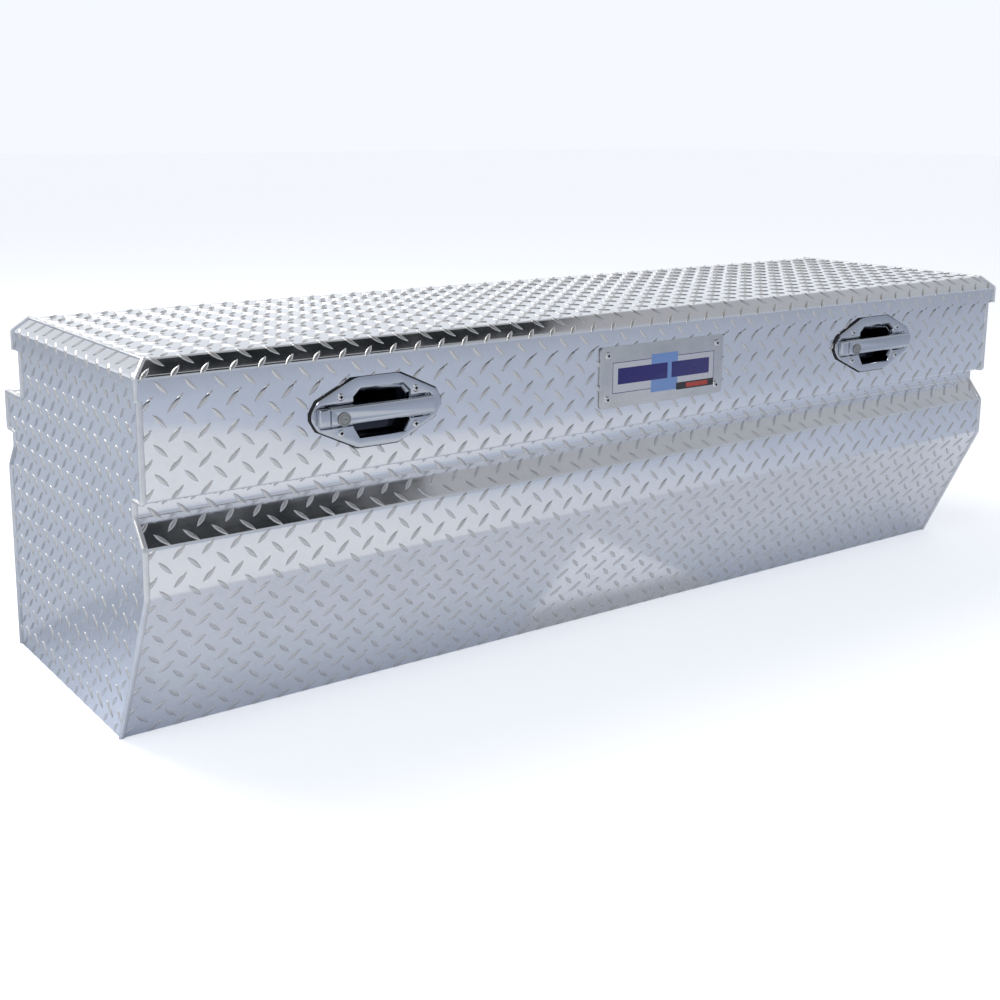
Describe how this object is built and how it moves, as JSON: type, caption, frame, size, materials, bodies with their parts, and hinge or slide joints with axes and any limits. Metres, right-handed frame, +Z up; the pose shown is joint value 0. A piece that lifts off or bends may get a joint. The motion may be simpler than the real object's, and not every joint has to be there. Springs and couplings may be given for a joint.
{
  "type": "truck tool box",
  "caption": "Aluminium tread-plate truck tool box with a hinged bevel-edged lid on gas struts, locking pull handles with slam latches, grooved front and a sloped front foot.",
  "frame": {"origin": "on the plane the box stands on, under the centre of its bounding box", "axes": "+Z up, -Y out of the front wall with the handles, +X along the length to the right as seen from the front"},
  "size_m": [1.562, 0.4968, 0.48],
  "materials": {
    "tread_plate": "bright polished diamond tread plate",
    "plain_aluminium": "mill finish sheet",
    "zinc_steel": "bright zinc plated steel",
    "chrome": "polished chrome plate",
    "lock_steel": "satin nickel",
    "black_rubber": "matt black rubber",
    "black_paint": "satin black paint",
    "name_plate": "brushed aluminium with a printed band"
  },
  "bodies": {
    "box": {"front_panel": "tread_plate", "floor_panel": "tread_plate", "rear_panel": "tread_plate", "end_panel_left": "tread_plate", "end_panel_right": "tread_plate", "opening_rim": "plain_aluminium", "hinge_leaf_body": "plain_aluminium", "hinge_pin": "zinc_steel", "nameplate": "name_plate", "nameplate_rivet_1": "lock_steel", "nameplate_rivet_2": "lock_steel", "nameplate_rivet_3": "lock_steel", "nameplate_rivet_4": "lock_steel", "strut_bracket_body_left": "zinc_steel", "handle_gasket_left": "black_rubber", "handle_bezel_left": "chrome", "handle_end_cap_left": "chrome", "handle_pivot_pin_left": "zinc_steel", "latch_housing_left": "zinc_steel", "bezel_screw_left_1": "lock_steel", "bezel_screw_left_2": "lock_steel", "bezel_screw_left_3": "lock_steel", "bezel_screw_left_4": "lock_steel", "strut_bracket_body_right": "zinc_steel", "handle_gasket_right": "black_rubber", "handle_bezel_right": "chrome", "handle_end_cap_right": "chrome", "handle_pivot_pin_right": "zinc_steel", "latch_housing_right": "zinc_steel", "bezel_screw_right_1": "lock_steel", "bezel_screw_right_2": "lock_steel", "bezel_screw_right_3": "lock_steel", "bezel_screw_right_4": "lock_steel"},
    "lid": {"lid_skin": "tread_plate", "lid_end_cap_left": "tread_plate", "lid_end_cap_right": "tread_plate", "lid_seal": "black_rubber", "hinge_leaf_lid": "plain_aluminium", "lid_stiffener_1": "plain_aluminium", "lid_stiffener_2": "plain_aluminium", "lid_stiffener_3": "plain_aluminium", "strut_bracket_lid_left": "zinc_steel", "latch_striker_left": "zinc_steel", "strut_bracket_lid_right": "zinc_steel", "latch_striker_right": "zinc_steel"},
    "tube_left": {"strut_tube_left": "black_paint"},
    "rod_left": {"strut_rod_left": "chrome"},
    "handle_left": {"pull_bar_left": "chrome"},
    "lock_left": {"lock_plug_left": "lock_steel", "lock_cam_left": "zinc_steel"},
    "bolt_left": {"latch_bolt_left": "zinc_steel"},
    "tube_right": {"strut_tube_right": "black_paint"},
    "rod_right": {"strut_rod_right": "chrome"},
    "handle_right": {"pull_bar_right": "chrome"},
    "lock_right": {"lock_plug_right": "lock_steel", "lock_cam_right": "zinc_steel"},
    "bolt_right": {"latch_bolt_right": "zinc_steel"}
  },
  "joints": [
    {"name": "lid_hinge", "type": "hinge", "parent": "box", "child": "lid", "pos_m": [0, 0.1827, 0.4318], "axis": [-1, 0, 0], "range_deg": [0, 72]},
    {"name": "strut_swing_left", "type": "hinge", "parent": "box", "child": "tube_left", "pos_m": [-0.73, -0.0516, 0.4], "axis": [1, 0, 0], "range_deg": [0, 3.7]},
    {"name": "strut_slide_left", "type": "slide", "parent": "tube_left", "child": "rod_left", "axis": [0, 0.9613, 0.2754], "range_m": [0, 0.057]},
    {"name": "handle_pull_left", "type": "hinge", "parent": "box", "child": "handle_left", "pos_m": [-0.3971, -0.2276, 0.391], "axis": [0, 0, 1], "range_deg": [0, 15], "stiffness_Nm_per_rad": 2, "springref_deg": -5.73},
    {"name": "lock_turn_left", "type": "hinge", "parent": "handle_left", "child": "lock_left", "pos_m": [-0.5232, -0.2386, 0.387], "axis": [0, 1, 0], "range_deg": [0, 90]},
    {"name": "bolt_slide_left", "type": "slide", "parent": "box", "child": "bolt_left", "axis": [0, -1, 0], "range_m": [0, 0.0046]},
    {"name": "strut_swing_right", "type": "hinge", "parent": "box", "child": "tube_right", "pos_m": [0.73, -0.0516, 0.4], "axis": [1, 0, 0], "range_deg": [0, 3.7]},
    {"name": "strut_slide_right", "type": "slide", "parent": "tube_right", "child": "rod_right", "axis": [0, 0.9613, 0.2754], "range_m": [0, 0.057]},
    {"name": "handle_pull_right", "type": "hinge", "parent": "box", "child": "handle_right", "pos_m": [0.5409, -0.2276, 0.391], "axis": [0, 0, 1], "range_deg": [0, 15], "stiffness_Nm_per_rad": 2, "springref_deg": -5.73},
    {"name": "lock_turn_right", "type": "hinge", "parent": "handle_right", "child": "lock_right", "pos_m": [0.4148, -0.2386, 0.387], "axis": [0, 1, 0], "range_deg": [0, 90]},
    {"name": "bolt_slide_right", "type": "slide", "parent": "box", "child": "bolt_right", "axis": [0, -1, 0], "range_m": [0, 0.0046]}
  ],
  "couplings": [
    {"joint": "strut_swing_left", "follows": "lid_hinge", "ratio": 0.05},
    {"joint": "strut_slide_left", "follows": "lid_hinge", "m_per_rad": 0.0444},
    {"joint": "bolt_slide_left", "follows": "handle_pull_left", "m_per_rad": 0.0172},
    {"joint": "strut_swing_right", "follows": "lid_hinge", "ratio": 0.05},
    {"joint": "strut_slide_right", "follows": "lid_hinge", "m_per_rad": 0.0444},
    {"joint": "bolt_slide_right", "follows": "handle_pull_right", "m_per_rad": 0.0172}
  ]
}
